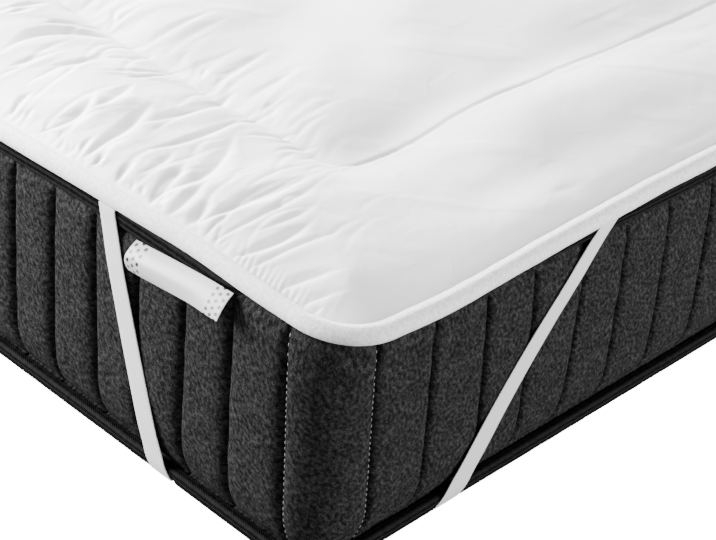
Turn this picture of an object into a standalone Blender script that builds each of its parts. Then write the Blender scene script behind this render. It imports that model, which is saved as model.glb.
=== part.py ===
"""A quilted mattress topper held on a mattress by four elastic corner bands.

Metres, +Z up. The origin is under the middle of the mattress, on the surface it stands on.
X runs across the bed and Y along it. The corner at +X -Y is the one seen from the front.
"""

import math

import bmesh
import bpy
from mathutils import Vector

# ---- driving dimensions -----------------------------------------------------------------
WIDTH = 0.900  # mattress, across
LENGTH = 2.000  # mattress, along
HEIGHT = 0.198  # mattress, floor to top face
CORNER_RADIUS = 0.040
GAP = 0.0003  # between pieces that touch

TAPE_HEIGHT = 0.0112  # the two binding tapes
TAPE_DEPTH = 0.0060  # how far a tape reaches in from the wall plane
TAPE_SWELL = 0.0015  # how far it stands out
TAPE_ROUND = 0.0028  # height over which its two edges round off
TAPE_LIP = 0.0010  # how far in from the wall plane that rounding starts

RIB_SWELL = 0.0030  # crest of a rib, out from the wall plane
GROOVE_DEPTH = 0.0085  # sewn groove between two ribs, in from the wall plane
CREASE_DEPTH = 0.0045  # where the border cloth is drawn in at the tapes
# Distance from a corner to each sewn groove near it, along a short wall and a long wall.
END_GROOVES = (0.0400, 0.0960, 0.1450, 0.1950, 0.2425, 0.2925, 0.3400)
SIDE_GROOVES = (0.0495, 0.1070, 0.1655, 0.2165, 0.2725, 0.3250, 0.3800, 0.4370)
END_EVEN_RIBS = 11  # even ribs between the last groove of the table and the next corner
SIDE_EVEN_RIBS = 28
RIB_SHOULDERS = (0.28, 0.72)  # where a rib's two crest lines stand, as shares of its width

TOPPER_RADIUS = 0.050  # corner of the topper's outline
PIPING_WIDTH = 0.0120
PIPING_HEIGHT = 0.0145
PAD_CLEAR = 0.0008  # the pad's own edge, in from the piping's inner side
PAD_EDGE = 0.0110  # thickness of the pad where the piping takes it
PAD_LOFT = 0.0250  # puffed band between the piping and the sewn frame
PAD_CENTRE = 0.0290  # middle of the pad
FRAME_INSET = 0.1560  # sewn frame, in from the topper's edge
FRAME_THICKNESS = 0.0150  # pad thickness under its stitches
LEAST_RADIUS = 0.0040  # corner of the sewn lines inside the pad
INNER_DRIFT = 0.35  # share of the outline's unevenness that the middle of the pad follows
GATHER_DEPTH = 0.0030  # folds of the gathered bands at the two short ends
SWAY_DEPTH = 0.0012  # slow unevenness of the long bands

STRAP_WIDTH = 0.0195
STRAP_THICKNESS = 0.0012
STRAP_UNDER = 0.0240  # its length between the topper and the mattress's top face
STRAP_TURN = 0.0180  # length under the mattress over which a strap turns to its own line
STRAP_BEND = 0.0045  # height over which it bends round a tape's edge
STRAP_ON_RIBS = (0.80, 0.50, 0.20)  # shares of the height where it lies on the rib crests

LABEL_LENGTH = 0.1020
LABEL_THICKNESS = 0.0010
LABEL_NEAR = 0.0965  # its near end, from the corner, along the short wall
LABEL_DROP = 0.0090  # its sewn edge under the tape's top edge, at its far end
LABEL_RISE = 0.0078  # how much higher its near end is sewn

# The topper's edge against the mattress's wall plane, going away from the seen corner:
# distance from the corner, and how far the edge stands out (+) or lies in (-).
END_EDGE = (
    (0.05, 0.0010),
    (0.10, 0.0010),
    (0.15, -0.0003),
    (0.21, 0.0023),
    (0.27, 0.0043),
    (0.35, 0.0050),
    (0.45, 0.0035),
    (0.68, 0.0010),
    (0.85, 0.0045),
)
SIDE_EDGE = (
    (0.05, 0.0145),
    (0.09, 0.0168),
    (0.12, 0.0165),
    (0.16, 0.0145),
    (0.24, 0.0104),
    (0.31, 0.0068),
    (0.36, 0.0042),
    (0.45, 0.0034),
    (0.60, 0.0030),
    (1.20, 0.0060),
    (1.70, 0.0030),
    (1.95, 0.0080),
)

# The mattress's side, from the floor up: height, groove and crest out from the wall plane.
TAPE_TOP = TAPE_HEIGHT + GAP
TAPE_FOOT = HEIGHT - TAPE_HEIGHT - GAP
WALL = (
    (0.0, -TAPE_DEPTH - GAP, -TAPE_DEPTH - GAP),
    (TAPE_TOP, -TAPE_DEPTH - GAP, -TAPE_DEPTH - GAP),
    (TAPE_TOP + 0.0004, -CREASE_DEPTH, -CREASE_DEPTH),
    (0.0210, -0.9 * GROOVE_DEPTH, 0.0),
    (0.0450, -GROOVE_DEPTH, 0.8 * RIB_SWELL),
    (0.1100, -GROOVE_DEPTH, RIB_SWELL),
    (0.1600, -GROOVE_DEPTH, 0.7 * RIB_SWELL),
    (0.1780, -0.8 * GROOVE_DEPTH, 0.0),
    (TAPE_FOOT - 0.0004, -CREASE_DEPTH, -CREASE_DEPTH),
    (TAPE_FOOT, -TAPE_DEPTH - GAP, -TAPE_DEPTH - GAP),
    (HEIGHT, -TAPE_DEPTH - GAP, -TAPE_DEPTH - GAP),
)

# The pad's top face, from its edge inwards: distance from the topper's outline, thickness,
# and how much of the gathered folds and of the slow sway it takes there.
PAD_ROWS = (
    (PIPING_WIDTH + PAD_CLEAR, PAD_EDGE, 0.3, 0.0),
    (0.0220, 0.64 * PAD_LOFT, 1.0, 0.4),
    (0.0480, 0.88 * PAD_LOFT, 1.0, 1.0),
    (0.0880, PAD_LOFT, 0.8, 1.0),
    (0.1260, 0.95 * PAD_LOFT, 0.9, 0.8),
    (0.1470, 0.80 * PAD_LOFT, 0.6, 0.3),
    (FRAME_INSET, FRAME_THICKNESS, 0.0, 0.0),
    (0.1650, 0.76 * PAD_LOFT, 0.4, 0.2),
    (0.1900, 0.95 * PAD_LOFT, 0.5, 0.6),
    (0.2600, PAD_CENTRE, 0.0, 1.0),
)
# The gathered folds, as waves along the short ends: length, share of the depth, start, lean.
FOLDS = (
    (0.0430, 0.50, 0.4, 0.30),
    (0.0610, 0.30, 2.1, -0.25),
    (0.0970, 0.20, 1.2, 0.50),
)
SWAYS = ((0.2300, 0.60, 0.8, 0.2), (0.3700, 0.40, 2.6, -0.4))

# The four corner bands: the corner's signs, then the distance from that corner at which a
# leg leaves the topper and goes under the mattress, on the short and on the long wall.
STRAPS = (
    # name, x sign, y sign, end top, end foot, side top, side foot
    ("strap_near", 1, -1, 0.2285, 0.1600, 0.2900, 0.1430),
    ("strap_side", 1, 1, 0.2400, 0.1520, 0.2720, 0.1500),
    ("strap_end", -1, -1, 0.2350, 0.1560, 0.2650, 0.1480),
    ("strap_far", -1, 1, 0.2250, 0.1580, 0.2850, 0.1450),
)

# The label's fall from its sewn edge: down and out at its far end, then at its near end.
LABEL_FALL = (
    (0.0000, 0.0000, 0.0000, 0.0000),
    (0.0040, 0.0065, 0.0045, 0.0045),
    (0.0090, 0.0110, 0.0100, 0.0085),
    (0.0150, 0.0105, 0.0155, 0.0115),
    (0.0210, 0.0070, 0.0216, 0.0135),
)

# ---- how finely it is cut ---------------------------------------------------------------
CORNER_STEPS = 5
PAD_END_STEPS = 74
PAD_SIDE_STEPS = 32
PIPING_END_STEPS = 37
PIPING_SIDE_STEPS = 32
PIPING_SIDES = 8
LABEL_STEPS = 6
QUARTER = math.pi / 2


def smooth(t):
    """Eases from 0 to 1."""
    t = min(1.0, max(0.0, t))
    return t * t * (3 - 2 * t)


def along_table(table, x):
    """The value at x in (place, value) rows, eased from row to row."""
    if x <= table[0][0]:
        return table[0][1]
    for (x0, y0), (x1, y1) in zip(table, table[1:]):
        if x <= x1:
            return y0 + (y1 - y0) * smooth((x - x0) / (x1 - x0))
    return table[-1][1]


def stops_between(first, last, steps):
    return [first + (last - first) * step / steps for step in range(steps + 1)]


# ---- one walk round the bed -------------------------------------------------------------
def bed_walk(half_x, half_y, radius, side_stops, end_stops):
    """A rounded outline, anticlockwise, as (point, outward normal, place) with a place of
    (long wall's share, distance along a long wall, distance along a short wall).

    Distances start at the seen corner. The half from there to the corner opposite is made
    first, and the other half is that one turned half round the middle of the bed.
    """
    centre_y = half_y - radius
    half = []
    for along in side_stops:
        half.append((Vector((half_x, along - half_y, 0)), Vector((1, 0, 0)), (1, along, 0)))
    for step in range(CORNER_STEPS + 1):
        angle = QUARTER * step / CORNER_STEPS
        normal = Vector((math.cos(angle), math.sin(angle), 0))
        point = Vector((half_x - radius, centre_y, 0)) + normal * radius
        half.append((point, normal, (1 - step / CORNER_STEPS, 2 * half_y, 2 * half_x)))
    for along in reversed(end_stops):
        half.append((Vector((along - half_x, half_y, 0)), Vector((0, 1, 0)), (0, 0, along)))
    for step in range(CORNER_STEPS + 1):
        angle = QUARTER + QUARTER * step / CORNER_STEPS
        normal = Vector((math.cos(angle), math.sin(angle), 0))
        point = Vector((radius - half_x, centre_y, 0)) + normal * radius
        half.append((point, normal, (step / CORNER_STEPS, 0, 0)))
    return half + [(-point, -normal, place) for point, normal, place in half]


def set_out(walk, out, height):
    """One ring: each point of the walk moved out by out(place), at a height."""
    lift = Vector((0, 0, height))
    return [point + normal * out(place) + lift for point, normal, place in walk]


# ---- solids -----------------------------------------------------------------------------
def solid(name, rings, material, collection, closed=False, sharp_degrees=35):
    """A loft through rings of points. Its two ends are capped, or joined where closed."""
    shape = bmesh.new()
    rows = [[shape.verts.new(point) for point in ring] for ring in rings]
    pairs = list(zip(rows, rows[1:])) + ([(rows[-1], rows[0])] if closed else [])
    for low, high in pairs:
        for i in range(len(low)):
            shape.faces.new((low[i - 1], low[i], high[i], high[i - 1]))
    if not closed:
        caps = [shape.faces.new(reversed(rows[0])), shape.faces.new(rows[-1])]
        bmesh.ops.triangulate(shape, faces=caps)
    bmesh.ops.recalc_face_normals(shape, faces=shape.faces)
    mesh = bpy.data.meshes.new(name)
    shape.to_mesh(mesh)
    shape.free()
    mesh.shade_smooth()
    mesh.set_sharp_from_angle(angle=math.radians(sharp_degrees))
    if material:
        mesh.materials.append(material)
    thing = bpy.data.objects.new(name, mesh)
    collection.objects.link(thing)
    return thing


def finish(name, colour, roughness):
    made = bpy.data.materials.new(name)
    made.use_nodes = True
    shader = made.node_tree.nodes["Principled BSDF"]
    shader.inputs["Base Color"].default_value = (*colour, 1)
    shader.inputs["Roughness"].default_value = roughness
    shader.inputs["Metallic"].default_value = 0
    return made


def with_ribs(grooves, even_ribs, wall_length):
    """The stops along one wall, as (distance, 1 on a crest and 0 in a groove)."""
    last = wall_length - grooves[0]
    even = stops_between(grooves[-1], last, even_ribs)
    lines = list(grooves[:-1]) + even
    stops = []
    for low, high in zip(lines, lines[1:]):
        stops.append((low, 0.0))
        stops += [(low + (high - low) * share, 1.0) for share in RIB_SHOULDERS]
    return stops + [(last, 0.0)]


def make_mattress(material, collection):
    """The block in its ribbed border. The panels round its corners are one wide crest."""
    side = dict(with_ribs(SIDE_GROOVES, SIDE_EVEN_RIBS, LENGTH))
    end = dict(with_ribs(END_GROOVES, END_EVEN_RIBS, WIDTH))
    # A short wall's first groove is where its corner starts, so the arc's end stands for it.
    end_stops = sorted(end)[1:-1]
    walk = bed_walk(WIDTH / 2, LENGTH / 2, CORNER_RADIUS, sorted(side), end_stops)
    rings = []
    for height, groove, crest in WALL:

        def out(place, groove=groove, crest=crest):
            share, along_side, along_end = place
            if share == 1 and along_side in side:
                up = side[along_side]
            elif share == 0 and along_end in end:
                up = end[along_end]
            else:
                up = 0.0 if share == 0 else 1.0
            return groove + (crest - groove) * up

        rings.append(set_out(walk, out, height))
    return solid("mattress", rings, material, collection)


def make_tape(name, low, material, collection):
    """A binding: one bent strip of tape, sewn on as a closed ring."""
    profile = (
        (-TAPE_DEPTH, low),
        (-TAPE_LIP, low),
        (TAPE_SWELL, low + TAPE_ROUND),
        (TAPE_SWELL, low + TAPE_HEIGHT - TAPE_ROUND),
        (-TAPE_LIP, low + TAPE_HEIGHT),
        (-TAPE_DEPTH, low + TAPE_HEIGHT),
    )
    stops = stops_between(CORNER_RADIUS, WIDTH - CORNER_RADIUS, 2)[1:-1]
    sides = stops_between(CORNER_RADIUS, LENGTH - CORNER_RADIUS, 4)[1:-1]
    walk = bed_walk(WIDTH / 2, LENGTH / 2, CORNER_RADIUS, sides, stops)
    rings = [set_out(walk, lambda place, out=out: out, height) for out, height in profile]
    return solid(name, rings, material, collection, closed=True)


def topper_out(place):
    """How far the topper's outline stands out from the mattress's wall plane."""
    share, along_side, along_end = place
    side = along_table(SIDE_EDGE, along_side)
    end = along_table(END_EDGE, along_end)
    return end + (side - end) * smooth(share)


def make_piping(material, collection):
    """The round roll sewn on the topper's edge."""
    reach = TOPPER_RADIUS
    sides = stops_between(reach, LENGTH - reach, PIPING_SIDE_STEPS)[1:-1]
    ends = stops_between(reach, WIDTH - reach, PIPING_END_STEPS)[1:-1]
    walk = bed_walk(WIDTH / 2, LENGTH / 2, TOPPER_RADIUS, sides, ends)
    rings = []
    for step in range(PIPING_SIDES):
        angle = 2 * math.pi * (step + 0.5) / PIPING_SIDES
        across = (math.cos(angle) - 1) * PIPING_WIDTH / 2
        height = HEIGHT + GAP + (1 + math.sin(angle)) * PIPING_HEIGHT / 2
        rings.append(set_out(walk, lambda p, across=across: topper_out(p) + across, height))
    return solid("piping", rings, material, collection, closed=True)


def waves(table, along, inset):
    """Uneven folds from -1 to 1: along runs beside the edge, inset across the band."""
    total = 0.0
    for length, share, start, lean in table:
        turn = 2 * math.pi * (along + lean * inset) / length + start
        total += share * math.sin(turn)
    return total


def pad_ring(inset, thickness, gather, sway):
    """One line round the pad's top face, at a distance in from the topper's outline."""
    half_x, half_y = WIDTH / 2 - inset, LENGTH / 2 - inset
    radius = max(TOPPER_RADIUS - inset, LEAST_RADIUS)
    side_stops = stops_between(radius, 2 * half_y - radius, PAD_SIDE_STEPS)[1:-1]
    end_stops = stops_between(radius, 2 * half_x - radius, PAD_END_STEPS)[1:-1]
    walk = bed_walk(half_x, half_y, radius, side_stops, end_stops)
    reach = smooth(1 - inset / FRAME_INSET)
    ring = []
    for point, normal, (share, along_side, along_end) in walk:
        place = (share, along_side + inset, along_end + inset)
        out = topper_out(place) * (INNER_DRIFT + (1 - INNER_DRIFT) * reach)
        raised = gather * GATHER_DEPTH * (1 - share) * waves(FOLDS, along_end, inset)
        raised += sway * SWAY_DEPTH * share * waves(SWAYS, along_side, inset)
        height = HEIGHT + GAP + thickness + raised
        ring.append(point + normal * out + Vector((0, 0, height)))
    return ring


def make_pad(material, collection):
    """The filled pad: flat below, crowned above, pinched along its sewn frame."""
    top = [pad_ring(*row) for row in PAD_ROWS]
    under = [Vector((point.x, point.y, HEIGHT + GAP)) for point in top[0]]
    return solid("topper", [under] + top, material, collection, sharp_degrees=60)


# ---- straps -----------------------------------------------------------------------------
class Leg:
    """One leg of a corner band on one wall, from under the topper to the mattress's foot.

    corner is where the two wall planes cross. outward and tangent lie level: off the wall,
    and along it away from the corner.
    """

    def __init__(self, corner, outward, tangent, top, foot):
        self.corner, self.outward, self.tangent = corner, outward, tangent
        self.top, self.foot = top, foot
        slant = math.atan2(top - foot, HEIGHT)
        self.half = tangent * (STRAP_WIDTH / 2 / math.cos(slant))

    def section(self, out, height, normal):
        """A line across the strap: its middle, half its width, and the way it faces."""
        share = min(1.0, max(0.0, height / HEIGHT))
        along = self.foot + (self.top - self.foot) * share
        middle = self.corner + self.tangent * along + self.outward * out
        return middle + Vector((0, 0, height)), self.half, normal.normalized()

    def sections(self):
        """From its sewn end under the topper, down the wall, to the mattress's foot."""
        up, out = Vector((0, 0, 1)), self.outward
        half = STRAP_THICKNESS / 2
        on_tape = TAPE_SWELL + 2 * GAP + half
        on_ribs = RIB_SWELL + 2 * GAP + half
        flat = on_tape - STRAP_BEND  # where the strap lies flat above and below the tapes
        turn = STRAP_BEND * (1 - math.cos(QUARTER / 2)) + half  # middle of the bend
        found = [
            self.section(-STRAP_UNDER, HEIGHT - half, up),
            self.section(flat, HEIGHT - half, up),
            self.section(on_tape + half - turn, HEIGHT - turn, up + out),
            self.section(on_tape, HEIGHT - STRAP_BEND, out),
            self.section(on_tape, HEIGHT - TAPE_HEIGHT, out),
        ]
        found += [self.section(on_ribs, share * HEIGHT, out) for share in STRAP_ON_RIBS]
        return found + [
            self.section(on_tape, TAPE_HEIGHT, out),
            self.section(on_tape, STRAP_BEND, out),
            self.section(on_tape + half - turn, turn, out - up),
            self.section(flat, half, -up),
        ]


def strap_sections(x_sign, y_sign, end_top, end_foot, side_top, side_foot):
    """The whole band: down the short wall, under the corner, and up the long wall."""
    corner = Vector((x_sign * WIDTH / 2, y_sign * LENGTH / 2, 0))
    x_axis, y_axis = Vector((x_sign, 0, 0)), Vector((0, y_sign, 0))
    end = Leg(corner, y_axis, -x_axis, end_top, end_foot).sections()
    side = Leg(corner, x_axis, -y_axis, side_top, side_foot).sections()
    start, stop = end[-1][0], side[-1][0]
    line = (stop - start).normalized()
    across = line.cross(Vector((0, 0, 1))) * (STRAP_WIDTH / 2)
    across = across if across.dot(-x_axis) > 0 else -across
    down = Vector((0, 0, -1))
    under = [(start + line * STRAP_TURN, across, down), (stop - line * STRAP_TURN, across, down)]
    # The edge that is further from the corner on one wall is also the further one below
    # and on the other wall, so the band never crosses itself.
    return end + under + list(reversed(side))


def strap_rings(sections, clearance):
    """Four points for each section, grown by a clearance."""
    rings = []
    for middle, half, normal in sections:
        wide = half.normalized() * (half.length + clearance)
        thick = normal * (STRAP_THICKNESS / 2 + clearance)
        rings.append([middle - wide - thick, middle + wide - thick,
                      middle + wide + thick, middle - wide + thick])
    return rings


def make_strap(row, material, collection, cutters):
    """One band of woven elastic, and the cutter of the shallow bed that it presses."""
    name, *sizes = row
    sections = strap_sections(*sizes)
    strap = solid(name, strap_rings(sections, 0.0), material, collection)
    longer = [grow_end(sections[0], sections[1])] + sections[1:-1]
    longer.append(grow_end(sections[-1], sections[-2]))
    cutter = solid(name + "_bed", strap_rings(longer, GAP), None, cutters)
    cutter.hide_render = True
    cutter.display_type = "WIRE"
    return strap, cutter


def grow_end(last, before):
    """The end section of a cutter, a little past the strap's own end."""
    step = (last[0] - before[0]).normalized() * GAP
    return last[0] + step, last[1], last[2]


def press_in(thing, cutter):
    cut = thing.modifiers.new("bed of " + cutter.name, "BOOLEAN")
    cut.operation = "DIFFERENCE"
    cut.solver = "EXACT"
    cut.object = cutter


# ---- label ------------------------------------------------------------------------------
def make_label(material, collection):
    """A ribbon sewn on by its top edge, its long free edge standing off the wall."""
    start_out = TAPE_SWELL + GAP + LABEL_THICKNESS / 2
    corner = Vector((WIDTH / 2, -LENGTH / 2, 0))
    rings = []
    for step in range(LABEL_STEPS + 1):
        share = step / LABEL_STEPS  # 0 at its far end, 1 at its near end
        along = LABEL_NEAR + LABEL_LENGTH * (1 - share)
        top = HEIGHT - LABEL_DROP + LABEL_RISE * share
        line = []
        for far_down, far_out, near_down, near_out in LABEL_FALL:
            down = far_down + (near_down - far_down) * share
            out = start_out + far_out + (near_out - far_out) * share
            line.append(corner + Vector((-along, -out, top - down)))
        rings.append(thickened(line, LABEL_THICKNESS))
    return solid("label", rings, material, collection)


def thickened(line, thickness):
    """The outline of a bent sheet's section, in a plane across X."""
    front, back = [], []
    for i, point in enumerate(line):
        run = line[min(i + 1, len(line) - 1)] - line[max(i - 1, 0)]
        normal = Vector((0, run.z, -run.y)).normalized() * (thickness / 2)
        front.append(point + normal)
        back.append(point - normal)
    return front + back[::-1]


# ---- the object -------------------------------------------------------------------------
for item in list(bpy.data.objects):
    bpy.data.objects.remove(item)

parts = bpy.data.collections.new("mattress_topper")
cutters = bpy.data.collections.new("cutters")
bpy.context.scene.collection.children.link(parts)
bpy.context.scene.collection.children.link(cutters)

knit = finish("charcoal_knit", (0.055, 0.056, 0.060), 0.90)
tape = finish("black_tape", (0.012, 0.012, 0.013), 0.75)
microfibre = finish("white_microfibre", (0.86, 0.86, 0.87), 0.55)
roll = finish("white_piping", (0.84, 0.84, 0.84), 0.75)
elastic = finish("white_elastic", (0.78, 0.78, 0.78), 0.60)
satin = finish("label_satin", (0.82, 0.82, 0.84), 0.35)

mattress = make_mattress(knit, parts)
top_tape = make_tape("top_binding", HEIGHT - TAPE_HEIGHT, tape, parts)
bottom_tape = make_tape("bottom_binding", 0.0, tape, parts)
make_pad(microfibre, parts)
make_piping(roll, parts)
for strap_row in STRAPS:
    band, bed = make_strap(strap_row, elastic, parts, cutters)
    for pressed in (mattress, top_tape, bottom_tape):
        press_in(pressed, bed)
make_label(satin, parts)
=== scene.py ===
import math
import random

import bmesh
import bpy
from mathutils import Matrix, Vector, noise


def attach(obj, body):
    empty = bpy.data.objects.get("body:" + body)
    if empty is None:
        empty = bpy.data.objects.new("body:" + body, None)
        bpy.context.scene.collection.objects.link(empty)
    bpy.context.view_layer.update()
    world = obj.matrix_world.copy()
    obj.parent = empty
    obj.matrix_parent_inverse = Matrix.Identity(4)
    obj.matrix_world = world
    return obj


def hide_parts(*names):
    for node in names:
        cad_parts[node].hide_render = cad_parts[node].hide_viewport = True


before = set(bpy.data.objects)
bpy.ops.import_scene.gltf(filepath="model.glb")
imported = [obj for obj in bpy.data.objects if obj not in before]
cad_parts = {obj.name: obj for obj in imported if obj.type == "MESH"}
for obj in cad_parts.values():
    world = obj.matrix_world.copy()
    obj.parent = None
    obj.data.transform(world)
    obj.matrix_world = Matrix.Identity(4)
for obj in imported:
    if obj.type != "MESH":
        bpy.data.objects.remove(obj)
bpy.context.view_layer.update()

# ---- camera -----------------------------------------------------------------------------
# The photograph's view: one corner of the bed seen from a little above through a long
# lens, with the picture turned by five degrees.
camera_data = bpy.data.cameras.new("camera")
camera_data.lens = 102.22
camera_data.sensor_width = 36.0
camera = bpy.data.objects.new("camera", camera_data)
bpy.context.scene.collection.objects.link(camera)
to_right = Vector((0.7104, 0.6980, 0.0902)).normalized()
forward = to_right.cross(Vector((0.4353, -0.3351, -0.8356))).normalized()
upward = to_right.cross(forward)
turned = Matrix((to_right, upward, -forward)).transposed().to_4x4()
camera.matrix_world = Matrix.Translation((1.17339, -1.81271, 0.97076)) @ turned
bpy.context.scene.camera = camera

# ---- mattress ---------------------------------------------------------------------------
# A foam block in a knitted border cover that is sewn into upright padded ribs, with a wide
# plain panel round each corner. The cloth is drawn in under the tapes, and pressed where
# the four elastic bands cross it.
WIDTH, LENGTH, HEIGHT = 0.900, 2.000, 0.198
CORNER_RADIUS = 0.040
TAPE_HEIGHT, TAPE_DEPTH, TAPE_SWELL = 0.0112, 0.0060, 0.0015
GAP = 0.0003
END_SEAMS = (0.0400, 0.0960, 0.1450, 0.1950, 0.2425, 0.2925, 0.3400)
SIDE_SEAMS = (0.0495, 0.1070, 0.1655, 0.2165, 0.2725, 0.3250, 0.3800, 0.4370)
END_LEANS = (0.0060, 0.0030, 0.0010, 0.0030, 0.0050, 0.0015, 0.0020)
SIDE_LEANS = (0.0060, 0.0040, 0.0065, 0.0045, 0.0005, 0.0040, 0.0050, 0.0055)
END_EVEN_RIBS, SIDE_EVEN_RIBS = 11, 28
FOOT_CURL = 0.0085  # how far a seam's foot bends towards its corner
HIDDEN_FACE = 0.0018  # the block's top and bottom lie this far inside the tapes

# Height on the wall, then how far a seam and a crest stand out from the wall plane.
BORDER = (
    (0.0115, -0.0092, -0.0088),
    (0.0150, -0.0090, -0.0062),
    (0.0210, -0.0088, -0.0026),
    (0.0320, -0.0086, 0.0006),
    (0.0480, -0.0085, 0.0022),
    (0.0650, -0.0085, 0.0028),
    (0.1100, -0.0085, 0.0029),
    (0.1560, -0.0085, 0.0026),
    (0.1680, -0.0083, 0.0020),
    (0.1760, -0.0078, 0.0010),
    (0.1820, -0.0072, -0.0010),
    (0.1850, -0.0070, -0.0036),
    (0.1865, -0.0070, -0.0060),
)
# The soft upper edge isn't straight: distance from the seen corner, and its rise there.
END_RISE = ((0.0, 0.0), (0.04, 0.0016), (0.10, 0.0032), (0.18, 0.0045), (0.26, 0.0043),
            (0.34, 0.0020), (0.42, 0.0), (0.60, 0.0012), (0.80, 0.0), (0.90, 0.0))
SIDE_RISE = ((0.0, 0.0), (0.12, 0.0003), (0.24, -0.0006), (0.32, -0.0026), (0.41, -0.0044),
             (0.50, -0.0034), (0.75, 0.0), (1.20, 0.0010), (1.60, -0.0012), (2.00, 0.0))
# The top tape stands taller on the short wall: distance from the seen corner, extra height.
TAPE_STRETCH = ((0.0, 0.0), (0.07, 0.0), (0.13, 0.0018), (0.18, 0.0024), (0.30, 0.0024),
                (0.37, 0.0008), (0.43, 0.0), (0.90, 0.0))
PUFF_END, PUFF_SIDE = 0.085, 0.110  # near a corner the cloth puffs up over the top tape

# Corner signs, then for the leg on the short wall and the leg on the long wall: distance
# from the corner at its top and at its foot, and how far it bows away between them.
BANDS = {
    "strap_near": (1, -1, (0.2285, 0.1600, 0.0010), (0.2900, 0.1430, -0.0110)),
    "strap_side": (1, 1, (0.2400, 0.1520, 0.0020), (0.2720, 0.1500, -0.0040)),
    "strap_end": (-1, -1, (0.2350, 0.1560, -0.0020), (0.2650, 0.1480, 0.0030)),
    "strap_far": (-1, 1, (0.2250, 0.1580, 0.0030), (0.2850, 0.1450, -0.0050)),
}
BAND_WIDTH, BAND_THICKNESS = 0.0195, 0.0010
BAND_ON_TAPE = TAPE_SWELL + 2 * GAP + 0.0006
BAND_ON_RIBS = 0.0042


def eased(t):
    t = min(1.0, max(0.0, t))
    return t * t * (3 - 2 * t)


def curve_through(rows, x, column=1):
    """A smooth curve through the rows' first value and the named column."""
    if x <= rows[0][0]:
        return rows[0][column]
    if x >= rows[-1][0]:
        return rows[-1][column]
    k = 0
    while rows[k + 1][0] < x:
        k += 1
    near, far = rows[k], rows[k + 1]
    before, after = rows[max(k - 1, 0)], rows[min(k + 2, len(rows) - 1)]
    run = far[0] - near[0]
    t = (x - near[0]) / run
    slope_near = (far[column] - before[column]) / (far[0] - before[0]) * run
    slope_far = (after[column] - near[column]) / (after[0] - near[0]) * run
    rise = far[column] - near[column]
    bend = (slope_near + slope_far - 2 * rise) * t + 3 * rise - 2 * slope_near - slope_far
    return near[column] + slope_near * t + bend * t * t


def wobble(x, y, size, seed=0.0):
    """Slow unevenness from about -1 to 1, with lumps of the given size in metres."""
    return noise.noise(Vector((x / size + seed, y / size - seed, 0.37 + seed))) * 1.6


def edge_rise(point):
    """How much higher or lower the bed's soft upper edge lies near a point."""
    side_turn, end_turn = (1 if point.x >= 0 else -1), (1 if point.y < 0 else -1)
    near_side = eased(1 - (WIDTH / 2 - abs(point.x)) / 0.15)
    near_end = eased(1 - (LENGTH / 2 - abs(point.y)) / 0.15)
    side = near_side and near_side * curve_through(SIDE_RISE, LENGTH / 2 + point.y * side_turn)
    end = near_end and near_end * curve_through(END_RISE, WIDTH / 2 - point.x * end_turn)
    return side + end


def tape_rise(point):
    """How much higher the top tape and what lies on it stand near a point."""
    near_end = eased(1 - (LENGTH / 2 - abs(point.y)) / 0.15)
    end_turn = 1 if point.y < 0 else -1
    return near_end and near_end * curve_through(TAPE_STRETCH, WIDTH / 2 - point.x * end_turn)


def lifted(point):
    """The point, carried up or down with the wall's upper part."""
    rise = edge_rise(point) * eased((point.z - 0.060) / 0.125)
    rise += tape_rise(point) * eased((point.z - HEIGHT + TAPE_HEIGHT) / TAPE_HEIGHT)
    return point + Vector((0, 0, rise))


def puffed(point):
    """1 at the corner panels, where the cloth hides the top tape, and 0 elsewhere."""
    in_x, in_y = WIDTH / 2 - abs(point.x), LENGTH / 2 - abs(point.y)
    return eased((PUFF_END - in_x) / 0.03 + 1) * eased((PUFF_SIDE - in_y) / 0.04 + 1)


def half_way(half_x, half_y, radius):
    return 2 * (half_x + half_y) - 4 * radius + math.pi * radius


def around(half_x, half_y, radius, distance):
    """Point and outward normal at a distance round a bed, from the seen corner's arc on."""
    half = half_way(half_x, half_y, radius)
    turn = 1 if (distance // half) % 2 == 0 else -1
    left = distance % half
    arc = math.pi * radius / 2
    side, end = 2 * (half_y - radius), 2 * (half_x - radius)
    if left <= side:
        point, angle = Vector((half_x, left + radius - half_y, 0)), 0.0
    elif left <= side + arc:
        angle = (left - side) / radius
        centre = Vector((half_x - radius, half_y - radius, 0))
        point = centre + Vector((math.cos(angle), math.sin(angle), 0)) * radius
    elif left <= side + arc + end:
        angle = math.pi / 2
        point = Vector((half_x - radius - (left - side - arc), half_y, 0))
    else:
        angle = math.pi / 2 + (left - side - arc - end) / radius
        centre = Vector((radius - half_x, half_y - radius, 0))
        point = centre + Vector((math.cos(angle), math.sin(angle), 0)) * radius
    return point * turn, Vector((math.cos(angle), math.sin(angle), 0)) * turn


def laid_grid(name, columns, rows, place, measure, material, thickness=0.0):
    """A grid of cloth: place(i, j) is where a crossing lies, measure(i, j) its flat size."""
    shape = bmesh.new()
    flat = shape.loops.layers.uv.new("laid_flat")
    bmesh.ops.create_grid(shape, x_segments=columns, y_segments=rows, size=0.5)
    crossing = {
        v: (round((v.co.x + 0.5) * columns), round((v.co.y + 0.5) * rows)) for v in shape.verts
    }
    for face in shape.faces:
        for loop in face.loops:
            loop[flat].uv = measure(*crossing[loop.vert])
    for v, (i, j) in crossing.items():
        v.co = place(i, j)
    bmesh.ops.remove_doubles(shape, verts=shape.verts, dist=0.000005)
    return finished(name, shape, material, thickness)


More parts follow.
